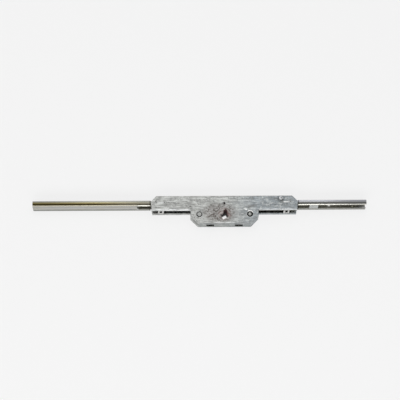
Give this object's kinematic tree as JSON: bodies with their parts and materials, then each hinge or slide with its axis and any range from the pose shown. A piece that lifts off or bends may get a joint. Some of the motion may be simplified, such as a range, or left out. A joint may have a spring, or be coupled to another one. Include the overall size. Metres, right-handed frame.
{
  "type": "window espagnolette",
  "caption": "Espagnolette for a window sash: die-cast gear case with a square spindle hole, and drive rods sliding in slim roll-formed rails to both sides.",
  "frame": {"origin": "on the axis of the handle spindle, on the handle side of the gear case", "axes": "+X along the rails towards the shorter one, +Y towards the face that shows in the sash groove, +Z away from the handle"},
  "size_m": [0.2843, 0.0243, 0.0122],
  "materials": {
    "cast_zinc": null,
    "rail_steel": "roll-formed steel strip, zinc plated and passivated, satin",
    "rod_steel": "cold-drawn flat steel, zinc plated, lightly greased",
    "turned_steel": "turned and riveted steel, zinc plated",
    "clip_steel": "bent steel strip, bright zinc",
    "guide_nylon": "moulded nylon, off-white"
  },
  "bodies": {
    "case": {"case_body": "cast_zinc", "case_cover": "cast_zinc", "handle_post_left": "turned_steel", "handle_post_right": "turned_steel", "front_rivet": "turned_steel", "face_screw": "turned_steel", "back_clip_left": "clip_steel", "back_clip_right": "clip_steel", "guide_rail_left": "rail_steel", "guide_rail_right": "rail_steel", "rail_screw": "turned_steel", "rail_rivet": "turned_steel", "rod_guide": "guide_nylon"},
    "drive": {"rack_slide": "cast_zinc", "drive_rod_left": "rod_steel", "drive_rod_right": "rod_steel", "coupling_rivet_left": "turned_steel", "coupling_rivet_right": "turned_steel", "rod_rivet": "turned_steel"},
    "follower": {"follower": "cast_zinc"}
  },
  "joints": [
    {"name": "rod_slide", "type": "slide", "parent": "case", "child": "drive", "axis": [1, 0, 0], "range_m": [-0.012, 0.006]},
    {"name": "spindle_turn", "type": "hinge", "parent": "case", "child": "follower", "pos_m": [0, 0, 0.006], "axis": [0, 0, 1], "range_deg": [-30, 60]}
  ],
  "couplings": [
    {"joint": "spindle_turn", "follows": "rod_slide", "rad_per_m": -87.266}
  ]
}
